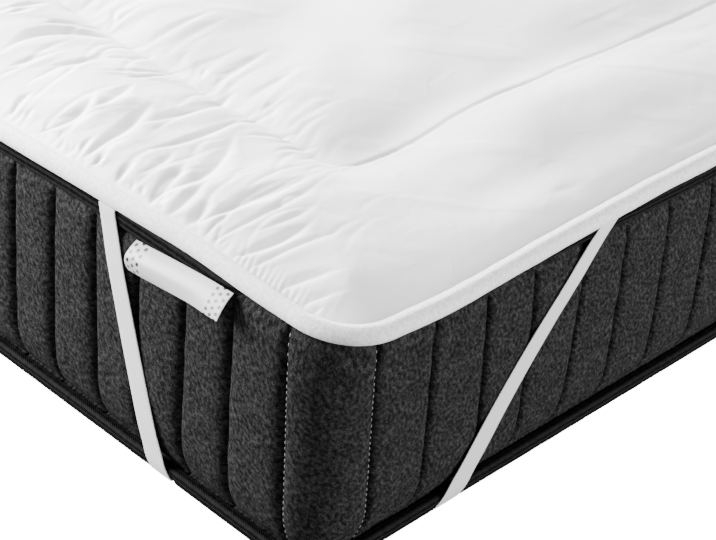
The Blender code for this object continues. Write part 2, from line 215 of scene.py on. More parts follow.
def finished(name, shape, material, thickness=0.0):
    """The mesh's object, with its faces outwards. A sheet gets its thickness here."""
    bmesh.ops.recalc_face_normals(shape, faces=shape.faces)
    mesh = bpy.data.meshes.new(name)
    shape.to_mesh(mesh)
    shape.free()
    mesh.shade_smooth()
    mesh.materials.append(material)
    piece = bpy.data.objects.new(name, mesh)
    bpy.context.scene.collection.objects.link(piece)
    if thickness:
        solid = piece.modifiers.new("thickness", "SOLIDIFY")
        solid.thickness = thickness
        solid.offset = 0.0
        piece.modifiers.new("clean_edges", "WEIGHTED_NORMAL")
    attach(piece, "root")
    return piece


def reshape(piece, change):
    """Lets change work on a finished piece's mesh, and turns its faces outwards again."""
    shape = bmesh.new()
    shape.from_mesh(piece.data)
    change(shape)
    bmesh.ops.recalc_face_normals(shape, faces=shape.faces)
    shape.to_mesh(piece.data)
    shape.free()


def open_rims(shape):
    return [edge for edge in shape.edges if edge.is_boundary]


def close_block(shape):
    """Fills the block's two open rims with one flat face each."""
    bmesh.ops.holes_fill(shape, edges=open_rims(shape), sides=0)
    for face in shape.faces:
        if len(face.verts) > 8:
            face.smooth = False


def band_line(leg, height):
    """Distance of a band's middle from its corner, at a height on the wall."""
    top, foot, bow = leg
    share = min(1.0, max(0.0, height / HEIGHT))
    return foot + (top - foot) * share + 4 * bow * share * (1 - share)


def band_out(height):
    """How far the middle of a band's thickness stands out from the wall plane."""
    up = eased((height - TAPE_HEIGHT) / (0.2 * HEIGHT - TAPE_HEIGHT))
    down = eased((HEIGHT - TAPE_HEIGHT - height) / (0.2 * HEIGHT - TAPE_HEIGHT))
    return BAND_ON_TAPE + (BAND_ON_RIBS - BAND_ON_TAPE) * min(up, down)


def near_band(point, reach):
    """1 under a corner band and 0 further than reach from its edge."""
    found = 0.0
    for x_sign, y_sign, end, side in BANDS.values():
        from_x, from_y = WIDTH / 2 - point.x * x_sign, LENGTH / 2 - point.y * y_sign
        for leg, along, inset in ((end, from_x, from_y), (side, from_y, from_x)):
            if abs(inset) < 0.02 and along < 0.35:
                gap = abs(along - band_line(leg, point.z)) - BAND_WIDTH / 2
                found = max(found, eased(1 - gap / reach))
    return found


def seam_rows(half_x, half_y):
    """Each seam as its distance round the bed, its lean, and the way its foot curls."""
    side, arc = 2 * (half_y - CORNER_RADIUS), math.pi * CORNER_RADIUS / 2
    chance = random.Random(3)
    ends, sides = list(END_SEAMS), list(SIDE_SEAMS)
    for seams, even, length in ((ends, END_EVEN_RIBS, WIDTH), (sides, SIDE_EVEN_RIBS, LENGTH)):
        step = (length - seams[0] - seams[-1]) / even
        seams += [seams[-1] + step * (n + 1) for n in range(even)]
    rows = []
    for n, along in enumerate(sides):
        lean = SIDE_LEANS[n] if n < len(SIDE_LEANS) else chance.uniform(-0.004, 0.004)
        curl = -FOOT_CURL * (1 - 2 * eased((along / LENGTH - 0.5) * 4 + 0.5))
        rows.append((along - CORNER_RADIUS, lean, curl * chance.uniform(0.45, 1.0)))
    for n, along in reversed(list(enumerate(ends))):
        lean = END_LEANS[n] if n < len(END_LEANS) else chance.uniform(-0.004, 0.004)
        curl = FOOT_CURL * (1 - 2 * eased((along / WIDTH - 0.5) * 4 + 0.5))
        place = side + arc + WIDTH - CORNER_RADIUS - along
        rows.append((place, lean, curl * chance.uniform(0.45, 1.0)))
    return rows


half_round = half_way(WIDTH / 2, LENGTH / 2, CORNER_RADIUS)
seams = seam_rows(WIDTH / 2, LENGTH / 2)
seams += [(place + half_round, lean, curl) for place, lean, curl in seams]
seams.append((seams[0][0] + 2 * half_round, *seams[0][1:]))

WIDEST_RIB = 0.068  # what lies between two seams further apart is a corner panel
border_columns = []  # distance round the bed, share across its rib, rib number, is a panel
for number, (low, high) in enumerate(zip(seams, seams[1:])):
    panel = high[0] - low[0] > WIDEST_RIB
    steps = 24 if panel else 14
    for k in range(steps):
        share = (1 - math.cos(math.pi * k / steps)) / 2
        border_columns.append((low[0] + (high[0] - low[0]) * share, share, number, panel))
border_columns.append((seams[-1][0], 0.0, 0, False))

# Heights of the border's rows, closer together towards the two tapes.
border_heights = [0.0115, 0.0125, 0.0140, 0.0160, 0.0185, 0.0215, 0.0250, 0.0290, 0.0340]
border_heights += [0.0400 + 0.0090 * n for n in range(13)]
border_heights += [0.1550, 0.1600, 0.1645, 0.1680, 0.1710, 0.1735, 0.1760, 0.1785, 0.1810]
border_heights += [0.1835, 0.1852, 0.1865]
SEAM_TOP, SEAM_FADE = 0.0010, 0.0085  # a seam ends this far under the tape, over this height


def seam_shift(seam, height):
    place, lean, curl = seam
    tilt = lean * (1 - 2 * height / HEIGHT)
    return tilt + curl * eased((0.0440 - height) / 0.0330) ** 1.4


def border_point(column, height):
    place, share, number, panel = border_columns[column]
    low, high = seams[number], seams[number + 1]
    shift = seam_shift(low, height) * (1 - share) + seam_shift(high, height) * share
    point, normal = around(WIDTH / 2, LENGTH / 2, CORNER_RADIUS, place + shift)
    across = abs(2 * share - 1)
    shallow = normal.x * normal.x  # the long walls' ribs are flatter, their seams less deep
    full = (1 - across ** (7.0 + 7.0 * shallow)) ** 0.5
    flat_share = 0.95 if panel else 0.88 + 0.09 * shallow
    rise = flat_share * full + (1 - flat_share) * (1 - across**2)
    over = puffed(point)
    sewn = eased((HEIGHT - TAPE_HEIGHT - SEAM_TOP - height) / SEAM_FADE)
    rise = 1 - (1 - rise) * max(sewn, over)
    seam, crest = curve_through(BORDER, height), curve_through(BORDER, height, 2)
    seam *= 1 - 0.25 * shallow
    fullness = 1 + 0.16 * wobble(number * 0.31, height, 0.09, 4.0)
    out = seam + (crest * (fullness if crest > 0 else 1) - seam) * rise
    x = place + 0.013 * number
    out += 0.00045 * rise * wobble(x, height, 0.035) + 0.00022 * rise * wobble(x, height, 0.012)
    tug = math.exp(-min(share, 1 - share) * 9) * (1 - 0.7 * panel)
    out += 0.00055 * tug * wobble(x * 0.4, height, 0.0085, 7.0)
    slit = math.exp(-min(share, 1 - share) * (70 + 30 * shallow)) * max(sewn, over)
    out -= (0.0034 - 0.0016 * shallow) * slit
    point.z = height
    pressed = near_band(point, 0.007)
    if pressed:
        limit = band_out(height) - BAND_THICKNESS / 2 - 0.0003
        out -= pressed * max(0.0, out - limit)
    puff = over * eased((height - 0.160) / (HEIGHT - TAPE_HEIGHT - 0.160))
    point.z += 0.0100 * puff
    return lifted(point) + normal * (out + 0.0016 * puff)


def border_place(i, j):
    """The rows run up from behind the lower tape to behind the upper one."""
    if 0 < j < len(border_heights) + 1:
        return border_point(i, border_heights[j - 1])
    point, normal = around(WIDTH / 2, LENGTH / 2, CORNER_RADIUS, border_columns[i][0])
    if j == 0:
        return point - normal * (TAPE_DEPTH + GAP) + Vector((0, 0, HIDDEN_FACE))
    if j == len(border_heights) + 1:
        point.z = HEIGHT - HIDDEN_FACE
        return lifted(point) - normal * (TAPE_DEPTH + GAP)
    return point - normal * 2 * TAPE_DEPTH + Vector((0, 0, HEIGHT - 0.0068))


def border_measure(i, j):
    height = border_heights[min(max(j - 1, 0), len(border_heights) - 1)]
    return border_columns[i][0], height


def place_node(tree, kind, sockets=None, **settings):
    """A shader node with its settings, its socket values and its incoming links."""
    made = tree.nodes.new(kind)
    for key, value in settings.items():
        setattr(made, key, value)
    for key, value in (sockets or {}).items():
        if isinstance(value, bpy.types.NodeSocket):
            tree.links.new(value, made.inputs[key])
        else:
            made.inputs[key].default_value = value
    return made


def sums(tree, operation, *values):
    """The result of one arithmetic node."""
    return place_node(tree, "ShaderNodeMath", dict(enumerate(values)), operation=operation).outputs[0]


def grain_of(tree, vector, scale, **sockets):
    """The value of a flat noise pattern on the cloth."""
    values = {"Vector": vector, "Scale": scale}
    values.update({key.title(): value for key, value in sockets.items()})
    return place_node(tree, "ShaderNodeTexNoise", values, noise_dimensions="2D").outputs["Fac"]


def ranged(tree, value, old_range, new_range, **settings):
    """A value carried over from one range to another."""
    sockets = {"Value": value, "From Min": old_range[0], "From Max": old_range[1],
               "To Min": new_range[0], "To Max": new_range[1]}
    return place_node(tree, "ShaderNodeMapRange", sockets, **settings).outputs[0]


def set_tone(tree, shader, tone):
    tree.links.new(tone, shader.inputs["Base Color"])


def set_relief(tree, shader, height, strength, distance):
    """Lets a pattern's height catch the light. The distance is its depth in metres."""
    sockets = {"Height": height, "Strength": strength, "Distance": distance}
    relief = place_node(tree, "ShaderNodeBump", sockets)
    tree.links.new(relief.outputs["Normal"], shader.inputs["Normal"])


def new_finish(name, colour, roughness, **more):
    """A material, its node tree and its shader. The map is the cloth's own flat one."""
    made = bpy.data.materials.new(name)
    made.use_nodes = True
    shader = made.node_tree.nodes["Principled BSDF"]
    shader.inputs["Base Color"].default_value = (*colour, 1)
    shader.inputs["Roughness"].default_value = roughness
    for key, value in more.items():
        shader.inputs[key.replace("_", " ")].default_value = value
    laid = place_node(made.node_tree, "ShaderNodeUVMap", uv_map="laid_flat").outputs["UV"]
    return made, made.node_tree, shader, laid


def new_group(name, inputs, outputs):
    """An empty shader group with named number sockets, and a vector where it says so."""
    group = bpy.data.node_groups.new(name, "ShaderNodeTree")
    for way, names in (("INPUT", inputs), ("OUTPUT", outputs)):
        for socket in names:
            kind = "NodeSocketVector" if socket == "Vector" else "NodeSocketFloat"
            group.interface.new_socket(socket, in_out=way, socket_type=kind)
    return group, group.nodes.new("NodeGroupInput"), group.nodes.new("NodeGroupOutput")


# Flecks: short soft dashes of yarn, slanted, in two sizes, from 0 to 1.
flecks, given, result = new_group(
    "yarn_flecks", ("Vector", "Per Metre", "Slant", "Stretch"), ("Amount", "Fine")
)
turned_map = place_node(
    flecks, "ShaderNodeVectorRotate",
    {"Vector": given.outputs["Vector"], "Angle": given.outputs["Slant"]}, rotation_type="Z_AXIS",
)
pulled = place_node(flecks, "ShaderNodeSeparateXYZ", {0: turned_map.outputs[0]})
stretched = place_node(
    flecks, "ShaderNodeCombineXYZ",
    {"X": pulled.outputs["X"], "Y": sums(flecks, "MULTIPLY", pulled.outputs["Y"],
                                         given.outputs["Stretch"])},
)
coarse = grain_of(
    flecks, stretched.outputs[0], given.outputs["Per Metre"], detail=2.0, roughness=0.55
)
finer_scale = sums(flecks, "MULTIPLY", given.outputs["Per Metre"], 3.1)
fine = grain_of(flecks, given.outputs["Vector"], finer_scale, detail=1.0)
flecks.links.new(coarse, result.inputs["Amount"])
flecks.links.new(fine, result.inputs["Fine"])

# Charcoal heather knit: dark and light yarns mixed, in slight relief.
knit, tree, shader, laid = new_finish(
    "charcoal_heather_knit", (0.016, 0.016, 0.017), 0.95,
    Specular_IOR_Level=0.01,
)
yarn = place_node(
    tree, "ShaderNodeGroup",
    {"Vector": laid, "Per Metre": 360.0, "Slant": -0.50, "Stretch": 0.74}, node_tree=flecks,
)
mottle = grain_of(tree, laid, 70.0, detail=2.0)
mixed = sums(tree, "ADD", sums(tree, "MULTIPLY", yarn.outputs["Amount"], 0.62),
             sums(tree, "MULTIPLY", yarn.outputs["Fine"], 0.38))
mixed = sums(tree, "ADD", mixed, sums(tree, "MULTIPLY", mottle, 0.16))
tones = place_node(tree, "ShaderNodeValToRGB", {"Fac": mixed})
YARN_TONES = ((0.42, 0.0055), (0.54, 0.0150), (0.66, 0.0305), (0.78, 0.052))
for k, (stop, grey) in enumerate(YARN_TONES):
    step = tones.color_ramp.elements[k] if k < 2 else tones.color_ramp.elements.new(stop)
    step.position, step.color = stop, (grey, grey, grey * 1.03, 1)
set_tone(tree, shader, tones.outputs["Color"])
set_relief(tree, shader, mixed, 0.60, 0.0013)

mattress = laid_grid(
    "mattress_block", len(border_columns) - 1, len(border_heights) + 2,
    border_place, border_measure, knit,
)
reshape(mattress, close_block)
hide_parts("mattress")

# ---- corner panel stitches --------------------------------------------------------------
# Pale thread that shows as a row of short dashes beside the two seams of each corner
# panel. Each dash is one stitch lying on the panel's turned edge.
STITCH_LENGTH, STITCH_PITCH, STITCH_RADIUS = 0.0030, 0.0052, 0.00036
FIRST_STITCH, LAST_STITCH = 0.0165, HEIGHT - TAPE_HEIGHT - 0.0015


def add_dash(shape, middle, run, up, length, radius):
    """One stitch: a small round-ended dash along run, lying on a face that looks up."""
    run = run.normalized()
    side = run.cross(up).normalized()
    frame_of = Matrix((side * radius, side.cross(run) * radius, run * length / 2))
    bmesh.ops.create_uvsphere(
        shape, u_segments=6, v_segments=4, radius=1.0,
        matrix=Matrix.Translation(middle) @ frame_of.transposed().to_4x4(),
    )


thread = new_finish("pale_thread", (0.34, 0.34, 0.33), 0.6)[0]
shape = bmesh.new()
chance = random.Random(11)
for column, (_, share, number, panel) in enumerate(border_columns):
    first, last = share == 0.0, panel and border_columns[column + 1][2] != number
    if not (panel and (first or last)):
        continue
    seat = column + 3 if first else column - 2
    height = FIRST_STITCH
    while height < LAST_STITCH:
        long_one = STITCH_LENGTH * chance.uniform(0.8, 1.15)
        low, high = border_point(seat, height - 0.001), border_point(seat, height + 0.001)
        normal = around(WIDTH / 2, LENGTH / 2, CORNER_RADIUS, border_columns[seat][0])[1]
        add_dash(shape, (low + high) / 2 + normal * 0.0002, high - low, normal, long_one,
                 STITCH_RADIUS)
        height += STITCH_PITCH * chance.uniform(0.92, 1.08)
panel_stitches = finished("panel_stitches", shape, thread)

# ---- binding tapes ----------------------------------------------------------------------
# Black ribbed tape sewn round the mattress's top and bottom edges. It is folded over the
# edge, stands a little proud, and gives way where a corner band passes over it.
# Share of the tape's section, then in from the wall plane and up from its lower edge.
TAPE_SECTION = (
    (0.00, -0.0060, 0.0000),
    (0.12, -0.0025, 0.0000),
    (0.20, -0.0002, 0.0008),
    (0.28, 0.0010, 0.0024),
    (0.38, 0.0014, 0.0044),
    (0.50, 0.0015, 0.0062),
    (0.62, 0.0014, 0.0078),
    (0.72, 0.0010, 0.0094),
    (0.80, -0.0002, 0.0106),
    (0.88, -0.0025, 0.0112),
    (1.00, -0.0060, 0.0112),
)
TAPE_RIDGES = 4
TAPE_STEPS, TAPE_ROWS = 760, 40
TAPE_MAP_WIDTH = 0.024  # a little over the section's length, for the map of its threads


def tape_place(lower_edge):
    whole = 2 * half_round

    def place(i, j):
        distance = whole * (i % TAPE_STEPS) / TAPE_STEPS
        point, normal = around(WIDTH / 2, LENGTH / 2, CORNER_RADIUS, distance)
        share = j / TAPE_ROWS
        out, up = curve_through(TAPE_SECTION, share), curve_through(TAPE_SECTION, share, 2)
        face = eased((share - 0.18) / 0.1) * eased((0.82 - share) / 0.1)
        ridge = abs(math.sin(math.pi * TAPE_RIDGES * (share - 0.2) / 0.6))
        out += face * (0.00014 * ridge - 0.00010 + 0.00022 * wobble(distance, up, 0.020))
        point.z = lower_edge + up
        pressed = near_band(point, 0.004)
        if lower_edge < 0.1:
            point.z = max(point.z, 0.0016 * pressed)
            out -= 0.0028 * pressed * eased((0.0112 - point.z) / 0.008)
        else:
            point.z = min(point.z, HEIGHT - 0.0016 * pressed)
            out -= 0.90 * puffed(point) * (out + TAPE_DEPTH)
        return lifted(point) + normal * (out - 0.0002 * pressed * face)

    return place


def tape_measure(i, j):
    return 2 * half_round * i / TAPE_STEPS, TAPE_MAP_WIDTH * j / TAPE_ROWS


def close_tape(shape):
    """Joins the strip's two edges by a flat back."""
    bmesh.ops.bridge_loops(shape, edges=open_rims(shape))


# Cross threads: fine ribs along the cloth's length and finer ones across it, from 0 to 1.
threads, given, result = new_group(
    "cross_threads", ("Vector", "Ribs Per Metre", "Picks Per Metre", "Slant"), ("Height",)
)
at = place_node(threads, "ShaderNodeSeparateXYZ", {0: given.outputs["Vector"]})
slanted = sums(threads, "MULTIPLY_ADD", at.outputs["Y"], given.outputs["Slant"], at.outputs["X"])
ribs = sums(threads, "MULTIPLY", at.outputs["Y"], given.outputs["Ribs Per Metre"])
picks = sums(threads, "MULTIPLY", slanted, given.outputs["Picks Per Metre"])
rib_wave = sums(threads, "SINE", sums(threads, "MULTIPLY", ribs, 2 * math.pi))
pick_wave = sums(threads, "SINE", sums(threads, "MULTIPLY", picks, 2 * math.pi))
both = sums(threads, "ADD", sums(threads, "MULTIPLY", rib_wave, 0.30),
            sums(threads, "MULTIPLY", pick_wave, 0.20))
threads.links.new(sums(threads, "ADD", both, 0.5), result.inputs["Height"])


def with_threads(tree, vector, ribs_per_metre, picks_per_metre, slant):
    """The height of the cross threads, in one material."""
    sockets = {"Vector": vector, "Ribs Per Metre": ribs_per_metre,
               "Picks Per Metre": picks_per_metre, "Slant": slant}
    return place_node(tree, "ShaderNodeGroup", sockets, node_tree=threads).outputs["Height"]


black_tape, tree, shader, laid = new_finish(
    "black_twill_tape", (0.008, 0.008, 0.008), 0.80, Specular_IOR_Level=0.01,
)
twill = with_threads(tree, laid, 170.0, 400.0, 1.6)
worn = grain_of(tree, laid, 240.0, detail=3.0)
shade = sums(tree, "ADD", sums(tree, "MULTIPLY", twill, 0.6), sums(tree, "MULTIPLY", worn, 0.4))
set_tone(tree, shader, ranged(tree, shade, (0.3, 0.75), (0.0012, 0.019)))
set_relief(tree, shader, twill, 0.6, 0.0006)

for name, lower_edge in (("top_binding", HEIGHT - TAPE_HEIGHT), ("bottom_binding", 0.0)):
    tape = laid_grid(
        name + "_tape", TAPE_STEPS, TAPE_ROWS, tape_place(lower_edge), tape_measure, black_tape
    )
    reshape(tape, close_tape)
    tape.data.shade_smooth()
    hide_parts(name)

# ---- corner bands -----------------------------------------------------------------------
# White woven elastic, one strip for each corner. It is sewn under the topper's edge on one
# wall, goes down over the ribs, under the mattress's corner and up the other wall.
BAND_UNDER = 0.0240  # how far it runs in under the topper
BAND_TURN = 0.0180  # length over which it turns to cross under the corner
BAND_BEND = 0.0022  # height over which it bends round the mattress's edges
BAND_FOOT_IN = 0.0026  # its foot presses this far into the bottom tape
BAND_SEAT = 0.0006  # its middle lies this far inside the faces that it runs along
BAND_ACROSS, BAND_STEPS = 8, 6


def leg_sections(corner, outward, tangent, leg):
    """Middle, half width and facing of the band, from under the topper to the foot."""
    up = Vector((0, 0, 1))
    half = BAND_THICKNESS / 2
    flat = BAND_ON_TAPE - BAND_BEND
    turn = BAND_BEND * (1 - math.cos(math.pi / 4)) + half
    rows = [
        (-BAND_UNDER, HEIGHT - BAND_SEAT, up),
        (flat, HEIGHT - BAND_SEAT, up),
        (BAND_ON_TAPE + half - turn, HEIGHT - turn, up + outward),
        (BAND_ON_TAPE, HEIGHT - BAND_BEND, outward),
    ]
    heights = [HEIGHT - TAPE_HEIGHT] + [HEIGHT * share for share in (0.88, 0.8, 0.65, 0.5)]
    heights += [HEIGHT * share for share in (0.35, 0.2, 0.12)] + [TAPE_HEIGHT, BAND_BEND]
    rows += [(band_out(height) - BAND_FOOT_IN * (height < TAPE_HEIGHT), height, outward)
             for height in heights]
    rows += [
        (BAND_ON_TAPE - BAND_FOOT_IN + half - turn, turn, outward - up),
        (flat - 2 * BAND_FOOT_IN, BAND_SEAT, -up),
        (flat - 0.0150, BAND_SEAT, -up),
    ]
    slant = math.atan2(leg[0] - leg[1], HEIGHT)
    found = []
    for out, height, facing in rows:
        drop = 1 - height / HEIGHT
        splay = 0.82 + 0.30 * drop - 0.12 * drop * drop + 0.10 * drop**8
        middle = corner + tangent * band_line(leg, height) + outward * out
        middle = lifted(middle + Vector((0, 0, height)))
        half_width = BAND_WIDTH * splay / math.cos(slant) / 2
        found.append((middle, tangent * half_width, facing.normalized()))
    return found


def band_sections(x_sign, y_sign, end_leg, side_leg):
    corner = Vector((x_sign * WIDTH / 2, y_sign * LENGTH / 2, 0))
    x_axis, y_axis = Vector((x_sign, 0, 0)), Vector((0, y_sign, 0))
    end = leg_sections(corner, y_axis, -x_axis, end_leg)
    side = leg_sections(corner, x_axis, -y_axis, side_leg)
    start, stop = end[-1][0], side[-1][0]
    line = (stop - start).normalized()
    across = line.cross(Vector((0, 0, 1))) * (BAND_WIDTH / 2)
    across = across if across.dot(-x_axis) > 0 else -across
    down = Vector((0, 0, -1))
    under = [(start + line * BAND_TURN, across, down), (stop - line * BAND_TURN, across, down)]
    return end + under + side[::-1]


def smooth_between(sections, steps):
    """More sections on a smooth line through the given ones."""
    found = []
    for k in range(len(sections) - 1):
        rows = [sections[min(max(k + n, 0), len(sections) - 1)] for n in (-1, 0, 1, 2)]
        for step in range(steps + (k == len(sections) - 2)):
            t = step / steps
            weights = (
                -0.5 * t + t * t - 0.5 * t**3, 1 - 2.5 * t * t + 1.5 * t**3,
                0.5 * t + 2 * t * t - 1.5 * t**3, -0.5 * t * t + 0.5 * t**3,
            )
            found.append([sum((row[n] * w for row, w in zip(rows, weights)), Vector())
                          for n in range(3)])
    return found


webbing, tree, shader, laid = new_finish(
    "white_elastic_webbing", (0.80, 0.80, 0.79), 0.62, Sheen_Weight=0.15,
)
cords = with_threads(tree, laid, 310.0, 900.0, 0.0)
# The colour follows the cords' height: painted shade in the grooves between the cords.
set_tone(tree, shader, ranged(tree, cords, (0.1, 0.9), (0.62, 0.80)))
set_relief(tree, shader, cords, 0.5, 0.0005)

for name, row in BANDS.items():
    sections = smooth_between(band_sections(*row), BAND_STEPS)
    walked = [0.0]
    for before, after in zip(sections, sections[1:]):
        walked.append(walked[-1] + (after[0] - before[0]).length)

    def band_place(i, j, sections=sections):
        middle, half, facing = sections[j]
        across = 2 * i / BAND_ACROSS - 1
        return middle + half * across - facing.normalized() * (0.00012 * across * across)

    band = laid_grid(
        name + "_band", BAND_ACROSS, len(sections) - 1, band_place,
        lambda i, j, walked=walked: (walked[j], BAND_WIDTH * i / BAND_ACROSS),
        webbing, thickness=BAND_THICKNESS,
    )
    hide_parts(name)

# ---- label ------------------------------------------------------------------------------
# A satin ribbon sewn by its upper edge just under the top tape. Its lower edge is free and
# stands off the wall: the far end arches and curls back, the near end flares.
LABEL_LENGTH, LABEL_NEAR, LABEL_WIDTH = 0.1010, 0.0939, 0.0265
LABEL_DROP, LABEL_RISE = 0.0098, 0.0090
LABEL_FALL = (
    # share of its width, then down and out at the far end, then at the near end
    (0.00, 0.0000, 0.0000, 0.0000, 0.0000),
    (0.27, 0.0042, 0.0065, 0.0037, 0.0048),
    (0.52, 0.0095, 0.0108, 0.0081, 0.0088),
    (0.76, 0.0160, 0.0102, 0.0126, 0.0119),
    (1.00, 0.0225, 0.0070, 0.0170, 0.0142),
)
LABEL_THICKNESS = 0.0005
LABEL_STEPS, LABEL_ROWS = 60, 20
# Plain dots at both ends: how far in they start, their pitch along and across the ribbon,
# how many columns there are, and the square of a dot's radius in pitches.
DOTS_FROM, DOT_PITCH, DOT_ROW_PITCH, DOT_COLUMNS, DOT_SIZE = 0.0006, 0.0052, 0.0061, 3, 0.088


def label_place(i, j):
    share, drop = i / LABEL_STEPS, j / LABEL_ROWS
    fall = [curve_through(LABEL_FALL, drop, column) for column in range(1, 5)]
    far_down, far_out, near_down, near_out = fall
    ease = eased(share) * 0.5 + share * 0.5
    down = far_down + (near_down - far_down) * ease
    out = TAPE_SWELL + GAP + 0.0006 + far_out + (near_out - far_out) * ease
    out += 0.0007 * drop * wobble(share * LABEL_LENGTH, drop * 0.01, 0.030, 2.0)
    along = LABEL_NEAR + LABEL_LENGTH * (1 - share)
    top = HEIGHT - LABEL_DROP + LABEL_RISE * share
    seam = lifted(Vector((WIDTH / 2 - along, -LENGTH / 2, top)))
    return seam - Vector((0, out, down))


satin, tree, shader, laid = new_finish(
    "white_label_satin", (0.84, 0.84, 0.86), 0.34, Sheen_Weight=0.1, Coat_Weight=0.15,
    Coat_Roughness=0.3,
)
at = place_node(tree, "ShaderNodeSeparateXYZ", {0: laid})
from_middle = sums(tree, "ABSOLUTE", sums(tree, "SUBTRACT", at.outputs["X"], LABEL_LENGTH / 2))
from_end = sums(tree, "SUBTRACT", LABEL_LENGTH / 2, from_middle)
column = sums(tree, "DIVIDE", sums(tree, "SUBTRACT", from_end, DOTS_FROM), DOT_PITCH)
row = sums(tree, "MULTIPLY_ADD", sums(tree, "FLOOR", column), 0.5,
           sums(tree, "DIVIDE", at.outputs["Y"], DOT_ROW_PITCH))
off_x = sums(tree, "SUBTRACT", sums(tree, "FRACT", column), 0.5)
off_y = sums(tree, "MULTIPLY", sums(tree, "SUBTRACT", sums(tree, "FRACT", row), 0.5), 1.17)
apart = sums(tree, "ADD", sums(tree, "MULTIPLY", off_x, off_x), sums(tree, "MULTIPLY", off_y, off_y))
dot = sums(tree, "LESS_THAN", apart, DOT_SIZE)
inside = sums(tree, "LESS_THAN", from_end, DOTS_FROM + DOT_COLUMNS * DOT_PITCH)
clear_edge = sums(tree, "GREATER_THAN", from_end, DOTS_FROM)
printed = sums(tree, "MULTIPLY", dot, sums(tree, "MULTIPLY", inside, clear_edge))
set_tone(tree, shader, ranged(tree, printed, (0.0, 1.0), (0.56, 0.006)))
set_relief(tree, shader, with_threads(tree, laid, 1500.0, 600.0, 0.0), 0.2, 0.0003)

label = laid_grid(
    "satin_label", LABEL_STEPS, LABEL_ROWS, label_place,
    lambda i, j: (LABEL_LENGTH * i / LABEL_STEPS, LABEL_WIDTH * j / LABEL_ROWS),
    satin, thickness=LABEL_THICKNESS,
)
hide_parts("label")

# ---- topper pad -------------------------------------------------------------------------
# Two faces of smooth microfibre with a loose filling, sewn together along a square frame
# some 15 cm in from the edge. The cloth is gathered into the two short ends, so folds run
# across those bands, while the long bands only sway.
TOPPER_RADIUS = 0.050
PIPING_WIDTH, PIPING_SIDE_WIDTH, PIPING_HEIGHT = 0.0120, 0.0152, 0.0145
PAD_INSET, PAD_SIDE_INSET = 0.0108, 0.0138
FRAME_INSET = 0.1560
FOLDS_FROM, FOLDS_REACH = 0.010, 0.240  # insets of folds count from the first, and stop at the other
# How far the topper's edge hangs over: distance from the seen corner, and the overhang.
END_EDGE = (
    (0.03, 0.0004), (0.10, 0.0022), (0.15, 0.0020), (0.19, 0.0042), (0.23, 0.0058),
    (0.30, 0.0071), (0.36, 0.0060), (0.45, 0.0037), (0.68, 0.0010), (0.85, 0.0045),
)
SIDE_EDGE = (
    (0.05, 0.0145), (0.09, 0.0168), (0.12, 0.0165), (0.16, 0.0145), (0.24, 0.0104),
    (0.31, 0.0068), (0.36, 0.0042), (0.45, 0.0034), (0.60, 0.0030), (1.20, 0.0060),
    (1.70, 0.0030), (1.95, 0.0080),
)
# Distance in from the topper's outline, the thickness there across the gathered bands of
# the short ends, and across the long bands, where the seam's inner side is softer.
PAD_LOFT = (
    (0.0108, 0.0106, 0.0106),
    (0.0138, 0.0130, 0.0120),
    (0.0170, 0.0145, 0.0132),
    (0.0240, 0.0172, 0.0152),
    (0.0350, 0.0202, 0.0177),
    (0.0520, 0.0226, 0.0206),
    (0.0850, 0.0250, 0.0239),
    (0.1150, 0.0250, 0.0247),
    (0.1350, 0.0236, 0.0232),
    (0.1460, 0.0216, 0.0213),
    (0.1520, 0.0198, 0.0205),
    (0.1560, 0.0184, 0.0198),
    (0.1590, 0.0195, 0.0205),
    (0.1680, 0.0218, 0.0204),
    (0.1800, 0.0240, 0.0212),
    (0.2000, 0.0266, 0.0242),
    (0.2250, 0.0286, 0.0278),
    (0.2600, 0.0300, 0.0300),
    (0.4500, 0.0308, 0.0308),
)
